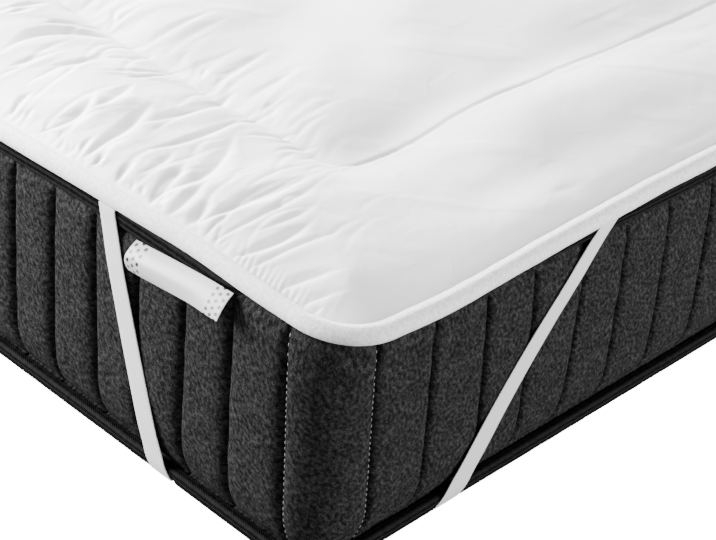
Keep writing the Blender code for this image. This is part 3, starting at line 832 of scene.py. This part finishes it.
# Folds of the gathered end, in millimetres: inset at its two ends, distance from the seen
# corner at its start, middle and end, then the width of its broad side, its depth. They
# were read off the photograph as points, turned into millimetres by a measuring script,
# rounded, and some of them added or moved by hand.
END_FOLDS = (
    (100, 128, 484, 480, 476, 6.0, 2.0),
    (93, 116, 476, 475, 471, 5.0, 1.6),
    (107, 136, 447, 441, 428, 6.0, 2.0),
    (62, 141, 438, 434, 408, 12.0, 3.0),
    (47, 87, 415, 412, 407, 6.0, 1.6),
    (47, 140, 386, 385, 361, 7.0, 1.1),
    (67, 110, 396, 385, 381, 6.0, 0.9),
    (91, 152, 364, 349, 338, 5.0, 1.3),
    (10, 35, 361, 368, 371, 6.0, 2.0),
    (12, 22, 348, 351, 353, 4.0, 1.4),
    (99, 142, 346, 339, 338, 4.0, 1.2),
    (11, 24, 324, 330, 335, 4.0, 0.9),
    (17, 65, 322, 322, 337, 11.0, 2.6),
    (54, 99, 321, 324, 333, 9.0, 2.1),
    (11, 21, 308, 311, 313, 3.0, 1.2),
    (7, 14, 292, 296, 299, 2.4, 0.8),
    (8, 14, 287, 290, 293, 2.4, 0.8),
    (70, 153, 284, 279, 285, 11.0, 2.5),
    (12, 27, 284, 288, 290, 4.5, 1.8),
    (16, 90, 277, 285, 301, 11.0, 2.7),
    (6, 20, 264, 265, 267, 3.5, 1.6),
    (55, 129, 251, 246, 250, 8.0, 2.1),
    (5, 28, 236, 241, 244, 7.0, 2.2),
    (25, 59, 229, 232, 239, 7.0, 1.6),
    (4, 14, 220, 224, 228, 3.0, 1.3),
    (138, 154, 215, 215, 205, 4.0, 0.8),
    (4, 14, 210, 214, 217, 3.0, 1.3),
    (24, 104, 200, 204, 227, 13.0, 2.7),
    (4, 57, 200, 208, 223, 11.0, 2.6),
    (3, 18, 193, 196, 198, 4.0, 1.3),
    (2, 46, 179, 183, 190, 8.0, 1.9),
    (122, 152, 178, 180, 184, 4.0, 0.6),
    (3, 35, 162, 164, 174, 10.0, 2.2),
    (23, 93, 156, 154, 155, 12.0, 2.4),
    (125, 157, 155, 161, 160, 3.0, 1.0),
    (5, 29, 146, 148, 149, 3.4, 1.1),
    (2, 10, 129, 131, 131, 3.0, 1.0),
    (37, 84, 121, 119, 122, 6.0, 1.1),
    (12, 120, 136, 134, 146, 6.0, 1.2),
    (8, 65, 114, 105, 108, 9.0, 2.3),
    (6, 74, 101, 94, 92, 6.0, 1.4),
    (6, 40, 75, 68, 60, 8.0, 1.9),
    (4, 30, 57, 51, 44, 6.0, 1.8),
    (3, 12, 47, 46, 45, 3.0, 1.1),
    (158, 268, 258, 281, 302, 6.0, 1.0),
    (157, 249, 300, 314, 322, 6.0, 1.1),
    (154, 205, 318, 329, 334, 5.0, 1.0),
    (157, 190, 304, 310, 318, 5.0, 1.2),
    (185, 242, 247, 234, 225, 8.0, 0.7),
    (157, 190, 250, 256, 261, 5.0, 1.1),
    (150, 176, 420, 430, 448, 5.0, 1.1),
    (160, 220, 229, 238, 250, 7.0, 0.8),
    (118, 155, 228, 222, 212, 6.0, 1.3),
    (118, 155, 196, 198, 190, 5.0, 1.0),
    (27, 125, 154, 150, 156, 8.0, 1.5),
)
# The few folds of the long band, read off the same way along the long side.
SIDE_FOLDS = (
    (22, 140, 426, 411, 432, 13.0, 2.2),
    (40, 128, 483, 482, 486, 7.0, 1.7),
    (2, 60, 271, 281, 291, 6.0, 1.3),
    (4, 44, 262, 268, 275, 5.0, 1.1),
    (22, 42, 312, 312, 309, 4.0, 0.9),
    (152, 176, 430, 423, 422, 5.0, 1.2),
    (140, 166, 440, 452, 450, 5.0, 1.2),
    (147, 190, 484, 506, 522, 7.0, 1.3),
    (70, 146, 540, 552, 560, 9.0, 1.4),
    (60, 146, 596, 604, 622, 10.0, 1.2),
    (10, 80, 650, 662, 668, 6.0, 1.2),
    (90, 150, 346, 356, 372, 11.0, 0.9),
    (84, 98, 290, 264, 240, 3.2, 0.6),
)
PLAIN_FROM = 0.490  # from here on the end's folds are made by rule
FOLD_STRENGTH = 1.12
PAD_UNDERSIDE = 0.0052  # the hidden underside lies this far below the mattress's top


def made_folds(seed, first, last, pitch):
    """Folds like those of the table, for the parts of an end that the photo doesn't show."""
    chance = random.Random(seed)
    rows, along = [], first
    while along < last:
        size = chance.uniform(0.4, 1.0)
        start = chance.choice((3, 3, 8, 55, 95))
        stop = min(152, start + chance.uniform(28, 95))
        lean = chance.uniform(6, 26)
        rows.append((start, stop, along, along + lean, along + lean * chance.uniform(0.3, 1.5),
                     3.5 + 8.0 * size, 0.7 + 1.9 * size))
        along += pitch * chance.uniform(0.35, 1.3)
    return rows


def made_pulls(seed, first, last, pitch):
    """Short folds that the frame's seam draws into the middle of the topper."""
    chance = random.Random(seed)
    rows, along = [], first
    while along < last:
        lean = chance.uniform(5, 22)
        rows.append((154, 154 + chance.uniform(24, 90), along, along + lean * 0.7, along + lean,
                     chance.uniform(4, 9), chance.uniform(0.4, 1.1)))
        along += pitch * chance.uniform(0.4, 1.6)
    return rows


def made_fine(seed, first, last, pitch):
    """Fine folds among the larger ones, from the piping and from the seam."""
    return [(*row[:5], row[5] * 0.55, row[6] * 0.34) for row in made_folds(seed, first, last, pitch)]


seen_end_folds = END_FOLDS + tuple(made_folds(5, 1000 * PLAIN_FROM, 880, 19))
seen_end_folds += tuple(made_pulls(7, 176, 880, 17)) + tuple(made_fine(12, 60, 880, 13))
far_end_folds = tuple(made_folds(8, 35, 875, 17))
side_folds = SIDE_FOLDS + tuple(
    (start, stop, a, b, c, width * 1.3, depth * 0.4)
    for start, stop, a, b, c, width, depth in made_folds(2, 800, 1900, 150)
)


def in_bins(folds, size=20):
    """The folds by the stretches of the edge that they touch."""
    bins = {}
    for fold in folds:
        start, stop, a, b, c, width, depth = fold
        for stretch in range(int((min(a, b, c) - 2 * width) // size),
                             int((max(a, b, c) + 2 * width) // size) + 1):
            bins.setdefault(stretch, []).append(fold)
    return bins


def fold_height(bins, along, inset, size=20):
    """Height in metres of the folds at a distance along the edge and in from it, in mm.

    A fold is a wedge that narrows at both ends: it sinks slowly over its broad side, turns
    sharply, and climbs to a soft crest, which runs on a little past the wedge.
    """
    total = 0.0
    for start, stop, a, b, c, width, depth in bins.get(int(along // size), ()):
        t = (inset - start) / (stop - start)
        if -0.25 < t < 1.6:
            line = a + (4 * b - 3 * a - c) * t + (2 * a + 2 * c - 4 * b) * t * t
            if t > 1:
                line = c + (a - 4 * b + 3 * c) * (t - 1)
            near, far = (4.0 if start < 30 else 2.0), 1.3
            if start > 50 and stop > 140:  # drawn up by the frame's seam, not by the piping
                near, far = 1.3, 2.4
            ends = eased((t + 0.25) * near) * eased((1.25 - t) * far)
            wedge = 0.22 + 0.78 * eased((t + 0.20) * 1.6) * eased((1.25 - t) * 1.5)
            u = (along - line) / (width * wedge)
            if 0 <= u < 1:
                total -= depth * ends * (0.3 + 0.7 * wedge) * (1 - u) ** 1.12
            elif -3.0 < u < 0:
                sunk = ends * (0.3 + 0.7 * wedge)
                crest = eased((t + 0.25) * 4.0) * eased((1.6 - t) * 1.4) * wedge
                if start < 140 and t > 1:
                    crest *= eased((154 - inset) / 10)
                climb = 1 - math.exp(u / 0.36)
                fading = 1 - eased((-u - 0.8) / 1.6)
                total += depth * (sunk * (climb - 1) + 0.34 * crest * climb) * fading
    return total * FOLD_STRENGTH / 1000


seen_bins, far_bins = in_bins(seen_end_folds), in_bins(far_end_folds)
side_bins = in_bins(side_folds)


def edge_drift(x, y):
    """How far a point of the topper is shifted with the outline that it lies near."""
    side_turn, end_turn = (1 if x >= 0 else -1), (1 if y < 0 else -1)
    side = curve_through(SIDE_EDGE, LENGTH / 2 + y * side_turn)
    end = curve_through(END_EDGE, WIDTH / 2 - x * end_turn)
    in_x, in_y = WIDTH / 2 - abs(x), LENGTH / 2 - abs(y)
    take_x = 0.35 * eased(abs(x) / 0.19) + 0.65 * eased(1 - in_x / FRAME_INSET)
    take_y = 0.35 * eased(abs(y) / 0.70) + 0.65 * eased(1 - in_y / FRAME_INSET)
    return side * take_x * side_turn, -end * take_y * end_turn


def from_outline(x, y):
    """Distance in from the topper's outline, with a soft mitre at the corners."""
    in_x, in_y = WIDTH / 2 - abs(x), LENGTH / 2 - abs(y)
    if in_x < TOPPER_RADIUS and in_y < TOPPER_RADIUS:
        return TOPPER_RADIUS - math.hypot(TOPPER_RADIUS - in_x, TOPPER_RADIUS - in_y)
    nearest = min(in_x, in_y)
    widest = 0.024 + 0.040 * eased((0.135 - nearest) / 0.04)
    soft = min(widest, max(0.0001, (nearest - TOPPER_RADIUS) * 0.9))
    overlap = max(0.0, soft - abs(in_x - in_y)) / soft
    return nearest - overlap * overlap * soft / 4


def end_relief(x, y, inset, at_end):
    """Folds, fine pleats and the seam's puckers in the gathered band of a short end."""
    in_y = LENGTH / 2 - abs(y)
    along = WIDTH / 2 - x if y < 0 else WIDTH / 2 + x
    bins = seen_bins if y < 0 else far_bins
    off_edge = eased((inset - PAD_INSET) / 0.010)
    height = at_end * off_edge * fold_height(bins, 1000 * along, 1000 * (in_y - FOLDS_FROM))
    if in_y < 0.060:  # fine pleats run in from the piping, tightest near the seen corner
        gather = eased((along - 0.018) / 0.012) * eased((WIDTH - 0.03 - along) / 0.03)
        tight = eased((along - 0.050) / 0.010) * eased((0.122 - along) / 0.012) if y < 0 else 0
        loose = eased(0.5 + 1.3 * wobble(along, 0, 0.045, 6.0)) * (1 - tight)
        depth_in = in_y - PAD_INSET
        slid = along - 0.38 * depth_in + 0.0016 * wobble(along, in_y, 0.02, 1.0)
        narrow = abs(math.sin(math.pi * slid / 0.0048)) - 0.6
        wide = abs(math.sin(math.pi * slid / 0.0090)) - 0.6
        near = eased(depth_in / 0.002) * math.exp(-max(0.0, depth_in - 0.005) / 0.0060)
        far = eased(depth_in / 0.003) * math.exp(-max(0.0, depth_in - 0.004) / 0.0100)
        height += gather * (0.0011 * tight * narrow * near + 0.0006 * loose * wide * far)
    pull = math.exp(-abs(inset - FRAME_INSET) / 0.012) * (abs(inset - FRAME_INSET) > 0.0015)
    pucker = abs(math.sin(math.pi * along / 0.017 + 2 * wobble(along, 0, 0.03))) - 0.6
    return height + 0.0006 * at_end * pull * pucker


def side_relief(x, y, inset, waver, at_side):
    """Folds and the unevenness beside the seam in the long bands."""
    in_x = WIDTH / 2 - abs(x)
    along = LENGTH / 2 + y if x >= 0 else LENGTH / 2 - y
    off_edge = eased((inset - PAD_INSET) / 0.010)
    folds = fold_height(side_bins, 1000 * along, 1000 * (in_x - FOLDS_FROM))
    off_seam = abs(waver - FRAME_INSET)
    uneven = 0.0005 * math.exp(-off_seam / 0.008) * wobble(along, 0, 0.012, 5.0)
    sunk = 0.0003 + 0.0010 * max(0.0, wobble(along, 0, 0.060, 2.5))
    return at_side * (off_edge * folds + uneven - sunk * math.exp(-off_seam / 0.0018))


def pad_height(x, y):
    """Thickness of the pad at a point of its nominal rectangle."""
    inset = from_outline(x, y)
    in_x, in_y = WIDTH / 2 - abs(x), LENGTH / 2 - abs(y)
    seam_drift = 0.0022 * wobble(x, y, 0.11, 3.0)
    waver = inset + seam_drift * math.exp(-(((inset - FRAME_INSET) / 0.05) ** 2))
    turn = 0.15 - 0.12 * math.exp(-(((inset - 0.153) / 0.010) ** 2))  # the seam turns sharply
    at_end = eased((in_x - in_y) / turn + 0.60)  # 1 in the gathered bands of the short ends
    if in_x < 0.06:
        at_end *= eased(in_x / 0.06)
    height = at_end and at_end * curve_through(PAD_LOFT, waver)
    if at_end < 1:
        height += (1 - at_end) * curve_through(PAD_LOFT, waver, 2)
    if in_y < FOLDS_REACH:
        height += end_relief(x, y, inset, at_end)
    if in_x < FOLDS_REACH:
        height += side_relief(x, y, inset, waver, 1 - at_end)
    calm = eased((inset - 0.03) / 0.05)
    height += 0.0044 * calm * wobble(x, y, 0.110, 1.5) + 0.0060 * calm * wobble(x, y, 0.260, 9.0)
    height += 0.0009 * calm * wobble(x, y, 0.045, 12.0)
    if in_x < 0.12 and in_y < 0.12:  # round each corner the pad sinks behind the piping
        corner = eased(1.25 - math.hypot(in_x - 0.045, in_y - 0.045) / 0.060)
        height -= 0.0054 * corner * math.exp(-max(0.0, inset - PAD_INSET) / 0.0140)
    merge = math.exp(-max(0.0, inset - PAD_INSET) / 0.0045) * at_end
    if merge > 0.01:  # along the gathered ends the pad's edge swells up against the piping
        height += 0.0028 * merge * eased((in_x - 0.070) / 0.10)
    ends = at_end * calm * eased((0.30 - in_y) / 0.10)
    height += 0.0007 * ends * wobble(x - 0.25 * in_y, y * 0.30, 0.022, 8.0)
    return height


def graded(*stretches):
    """Stops along a line from (first, last, spacing) stretches that follow each other."""
    stops = []
    for first, last, spacing in stretches:
        steps = max(1, round((last - first) / spacing))
        stops += [first + (last - first) * n / steps for n in range(steps)]
    return stops + [stretches[-1][1]]


# The pad's grid is finest where the photograph shows its folds.
x_limit, y_limit = WIDTH / 2 - PAD_SIDE_INSET, LENGTH / 2 - PAD_INSET
pad_x = graded((-x_limit, -0.425, 0.0024), (-0.425, -0.120, 0.0050), (-0.120, 0.300, 0.0014),
               (0.300, 0.425, 0.0011), (0.425, x_limit, 0.0016))
pad_y = graded((-y_limit, -0.972, 0.0013), (-0.972, -0.860, 0.0026), (-0.860, -0.820, 0.0022),
               (-0.820, -0.600, 0.0100), (-0.600, 0.780, 0.0300), (0.780, 0.850, 0.0080),
               (0.850, 0.970, 0.0080), (0.970, y_limit, 0.0030))


def rounded_place(x, y):
    """A point of the nominal rectangle, drawn in round the pad's corners."""
    radius_x, radius_y = TOPPER_RADIUS - PAD_SIDE_INSET, TOPPER_RADIUS - PAD_INSET
    a = (abs(x) - x_limit + radius_x) / radius_x
    b = (abs(y) - y_limit + radius_y) / radius_y
    if a > 0 and b > 0:
        round_a = a * math.sqrt(1 - b * b / 2)
        round_b = b * math.sqrt(1 - a * a / 2)
        x = math.copysign(x_limit - radius_x + round_a * radius_x, x)
        y = math.copysign(y_limit - radius_y + round_b * radius_y, y)
    return x, y


def on_pad(x, y, height=None):
    """Where a point of the nominal rectangle lies on the pad, or at a height in it."""
    drift_x, drift_y = edge_drift(x, y)
    height = pad_height(x, y) if height is None else height
    point = Vector((x + drift_x, y + drift_y, HEIGHT + GAP + height))
    flat = Vector((x, y, 0))
    return point + Vector((0, 0, edge_rise(flat) + tape_rise(flat)))


def pad_place(i, j):
    return on_pad(*rounded_place(pad_x[i], pad_y[j]))


def close_pad(shape):
    """Turns the pad's edge down behind the piping, and in to a flat hidden underside."""
    for drop, inward in ((PAD_LOFT[0][1], 1.0), (0.0055, 0.96)):
        grown = bmesh.ops.extrude_edge_only(shape, edges=open_rims(shape))["geom"]
        for v in grown:
            if isinstance(v, bmesh.types.BMVert):
                v.co = (v.co.x * inward, v.co.y * inward, v.co.z - drop)
                if inward < 1:
                    v.co.z = HEIGHT - PAD_UNDERSIDE
    bmesh.ops.holes_fill(shape, edges=open_rims(shape), sides=0)


# Crumple: the faint unevenness of thin cloth over a filling, and its close weave.
crumple, given, result = new_group("thin_cloth", ("Vector", "Per Metre"), ("Soft", "Weave"))
soft = grain_of(
    crumple, given.outputs["Vector"], given.outputs["Per Metre"], detail=3.0, distortion=0.6
)
weave_scale = sums(crumple, "MULTIPLY", given.outputs["Per Metre"], 22.0)
weave = grain_of(crumple, given.outputs["Vector"], weave_scale, detail=1.0)
crumple.links.new(soft, result.inputs["Soft"])
crumple.links.new(weave, result.inputs["Weave"])


def with_crumple(tree, vector, per_metre):
    """The thin cloth's unevenness and weave, in one material."""
    sockets = {"Vector": vector, "Per Metre": per_metre}
    return place_node(tree, "ShaderNodeGroup", sockets, node_tree=crumple).outputs


# Seam pulls: small puckers across a straight seam, strongest beside it and gone 2 cm off.
pulls, given, result = new_group(
    "seam_pulls", ("Vector", "Seam From Middle", "Seam Half Length", "Per Metre"), ("Height",)
)
at = place_node(pulls, "ShaderNodeSeparateXYZ", {0: given.outputs["Vector"]})
off_seam = sums(pulls, "ABSOLUTE", sums(
    pulls, "SUBTRACT", sums(pulls, "ABSOLUTE", at.outputs["X"]), given.outputs["Seam From Middle"]
))
close = ranged(pulls, off_seam, (0.022, 0.001), (0.0, 1.0), interpolation_type="SMOOTHSTEP")
beside = sums(pulls, "LESS_THAN", sums(pulls, "ABSOLUTE", at.outputs["Y"]),
              given.outputs["Seam Half Length"])
drawn = place_node(
    pulls, "ShaderNodeCombineXYZ",
    {"X": at.outputs["Y"], "Y": sums(pulls, "MULTIPLY", at.outputs["X"], 0.30)},
)
creases = grain_of(pulls, drawn.outputs[0], given.outputs["Per Metre"], detail=1.5)
drawn_up = sums(pulls, "MULTIPLY", creases, sums(pulls, "MULTIPLY", close, beside))
pulls.links.new(drawn_up, result.inputs["Height"])

microfibre, tree, shader, laid = new_finish(
    "white_microfibre", (0.86, 0.86, 0.865), 0.62, Sheen_Weight=0.18, Sheen_Roughness=0.45,
    Specular_IOR_Level=0.35,
)
cloth = with_crumple(tree, laid, 45.0)
set_tone(tree, shader, ranged(tree, cloth["Weave"], (0.3, 0.7), (0.845, 0.875)))
turned_cloth = place_node(
    tree, "ShaderNodeVectorRotate", {"Vector": laid, "Angle": 0.75}, rotation_type="Z_AXIS",
)
spread = place_node(tree, "ShaderNodeSeparateXYZ", {0: turned_cloth.outputs[0]})
narrow_way = place_node(
    tree, "ShaderNodeCombineXYZ",
    {"X": spread.outputs["X"], "Y": sums(tree, "MULTIPLY", spread.outputs["Y"], 0.22)},
)
sway = grain_of(tree, narrow_way.outputs[0], 26.0, detail=1.5, roughness=0.4)
wrinkles = ranged(tree, sway, (0.52, 0.75), (0.0, 1.0), interpolation_type="SMOOTHSTEP")
long_seams = place_node(
    tree, "ShaderNodeGroup",
    {"Vector": laid, "Seam From Middle": WIDTH / 2 - FRAME_INSET,
     "Seam Half Length": LENGTH / 2 - FRAME_INSET, "Per Metre": 85.0}, node_tree=pulls,
)
lie = sums(tree, "ADD", cloth["Soft"], sums(tree, "MULTIPLY", cloth["Weave"], 0.06))
lie = sums(tree, "ADD", lie, sums(tree, "MULTIPLY", long_seams.outputs["Height"], 1.3))
lie = sums(tree, "ADD", lie, sums(tree, "MULTIPLY", wrinkles, 1.4))
set_relief(tree, shader, lie, 0.35, 0.0016)

pad = laid_grid(
    "topper_pad", len(pad_x) - 1, len(pad_y) - 1, pad_place,
    lambda i, j: (pad_x[i], pad_y[j]), microfibre,
)
reshape(pad, close_pad)
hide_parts("topper")

# ---- frame stitches ---------------------------------------------------------------------
# White lockstitch along the square frame, lying in the bottom of its trough.
FRAME_STITCH, FRAME_STITCH_PITCH, FRAME_STITCH_RADIUS = 0.0028, 0.0042, 0.00032

frame_thread = new_finish("white_thread", (0.80, 0.80, 0.80), 0.5)[0]
shape = bmesh.new()
chance = random.Random(21)
corners = [Vector((x * (WIDTH / 2 - FRAME_INSET), y * (LENGTH / 2 - FRAME_INSET), 0))
           for x, y in ((1, -1), (1, 1), (-1, 1), (-1, -1))]
for start, stop in zip(corners, corners[1:] + corners[:1]):
    run = (stop - start).normalized()
    walked, length = 0.004, (stop - start).length
    while walked < length - 0.004:
        middle = start + run * walked
        low, high = (on_pad(*(middle + run * step).xy) for step in (-0.001, 0.001))
        add_dash(shape, (low + high) / 2 + Vector((0, 0, 0.0001)), high - low,
                 Vector((0, 0, 1)), FRAME_STITCH * chance.uniform(0.85, 1.1),
                 FRAME_STITCH_RADIUS)
        walked += FRAME_STITCH_PITCH
frame_stitches = finished("frame_stitches", shape, frame_thread)

# ---- piping -----------------------------------------------------------------------------
# A round roll of finely knitted white cloth, sewn on along the topper's whole edge. It is
# drawn up a little where the short ends are gathered.
PIPING_STEPS, PIPING_SIDES = 1500, 28
PIPING_MAP = (5.8, 0.042)  # about its length and girth, for the map of its knit


def piping_place(i, j):
    whole = 2 * half_way(WIDTH / 2, LENGTH / 2, TOPPER_RADIUS)
    distance = whole * (i % PIPING_STEPS) / PIPING_STEPS
    point, normal = around(WIDTH / 2, LENGTH / 2, TOPPER_RADIUS, distance)
    drift_x, drift_y = edge_drift(point.x, point.y)
    angle = 2 * math.pi * (j % PIPING_SIDES) / PIPING_SIDES
    plump = 1 + 0.035 * wobble(distance, 0, 0.045, 2.0) + 0.018 * wobble(distance, 0, 0.013, 4.0)
    width = PIPING_WIDTH + (PIPING_SIDE_WIDTH - PIPING_WIDTH) * normal.x * normal.x
    if 0 < angle < math.pi:  # the seam that closes the roll: a ridge and a groove beside it
        plump += 0.055 * math.exp(-(((angle - 2.30) / 0.16) ** 2))
        plump -= 0.055 * math.exp(-(((angle - 1.88) / 0.20) ** 2))
    across = (math.cos(angle) * plump - 1) * width / 2
    rise = math.sin(angle) * (plump if math.sin(angle) > 0 else 1.0)
    height = HEIGHT + GAP + (1 + rise) * PIPING_HEIGHT / 2 + edge_rise(point) + tape_rise(point)
    return point + normal * across + Vector((drift_x, drift_y, height))


knit_white, tree, shader, laid = new_finish(
    "white_piping_knit", (0.85, 0.85, 0.85), 0.75, Sheen_Weight=0.2, Sheen_Roughness=0.5,
)
loops = with_threads(tree, laid, 800.0, 760.0, 0.5)
grain = with_crumple(tree, laid, 15.0)
set_tone(tree, shader, ranged(tree, grain["Weave"], (0.36, 0.64), (0.74, 0.90)))
lie = sums(tree, "ADD", sums(tree, "MULTIPLY", loops, 0.5),
           sums(tree, "MULTIPLY", grain["Weave"], 0.8))
set_relief(tree, shader, lie, 0.5, 0.0009)

piping = laid_grid(
    "topper_piping", PIPING_STEPS, PIPING_SIDES, piping_place,
    lambda i, j: (PIPING_MAP[0] * i / PIPING_STEPS, PIPING_MAP[1] * j / PIPING_SIDES),
    knit_white,
)
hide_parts("piping")

# ---- floor and light --------------------------------------------------------------------
# A plain white studio floor, five soft square lights, and an even white surround that
# fills the shadows. Two of the lights reach the white cloth only.
FLOOR_HALF, FLOOR_GREY, FLOOR_GLOW = 14.0, 0.20, 16.0  # its glow shows to the camera alone

white_floor = bpy.data.materials.new("studio_floor")
white_floor.use_nodes = True
paint = white_floor.node_tree.nodes["Principled BSDF"]
paint.inputs["Base Color"].default_value = (FLOOR_GREY, FLOOR_GREY, FLOOR_GREY, 1)
paint.inputs["Roughness"].default_value = 0.9
paint.inputs["Emission Color"].default_value = (1, 1, 1, 1)
seen = place_node(white_floor.node_tree, "ShaderNodeLightPath").outputs["Is Camera Ray"]
burnt_out = sums(white_floor.node_tree, "MULTIPLY", seen, FLOOR_GLOW)
white_floor.node_tree.links.new(burnt_out, paint.inputs["Emission Strength"])
shape = bmesh.new()
bmesh.ops.create_grid(shape, x_segments=2, y_segments=2, size=FLOOR_HALF)
floor_mesh = bpy.data.meshes.new("studio_floor")
shape.to_mesh(floor_mesh)
shape.free()
floor_mesh.materials.append(white_floor)
floor = bpy.data.objects.new("studio_floor", floor_mesh)
bpy.context.scene.collection.objects.link(floor)

LIGHTS = (
    # name, place, point it faces, side of the square, power in watts
    ("key", (-1.05, -2.00, 0.95), (0.02, -0.85, 0.20), 1.0, 150.0),
    ("window", (-1.12, -0.80, 0.44), (0.10, -0.65, 0.22), 0.8, 265.0),
    ("fill", (2.60, 0.50, 0.45), (0.45, -0.40, 0.12), 1.4, 150.0),
    ("front", (1.50, -2.30, 1.20), (0.40, -0.90, 0.20), 1.4, 12.0),
    ("back", (-1.60, 2.60, 0.90), (0.00, 0.60, 0.15), 1.4, 60.0),
)
CLOTH_LIGHTS = ("window", "front")  # they light the white cloth only
white_goods = bpy.data.collections.new("white_goods")
for piece in (pad, piping, frame_stitches):
    white_goods.objects.link(piece)
for name, place, target, side, power in LIGHTS:
    lamp = bpy.data.lights.new(name, "AREA")
    lamp.shape, lamp.size, lamp.energy = "SQUARE", side, power
    light = bpy.data.objects.new(name, lamp)
    light.location = place
    light.rotation_euler = (Vector(target) - Vector(place)).to_track_quat("-Z", "Y").to_euler()
    light.visible_camera = False
    if name in CLOTH_LIGHTS:
        light.light_linking.receiver_collection = white_goods
    bpy.context.scene.collection.objects.link(light)

surround = bpy.data.worlds.new("surround")
surround.use_nodes = True
surround.node_tree.nodes["Background"].inputs["Color"].default_value = (1, 1, 1, 1)
surround.node_tree.nodes["Background"].inputs["Strength"].default_value = 0.45
bpy.context.scene.world = surround
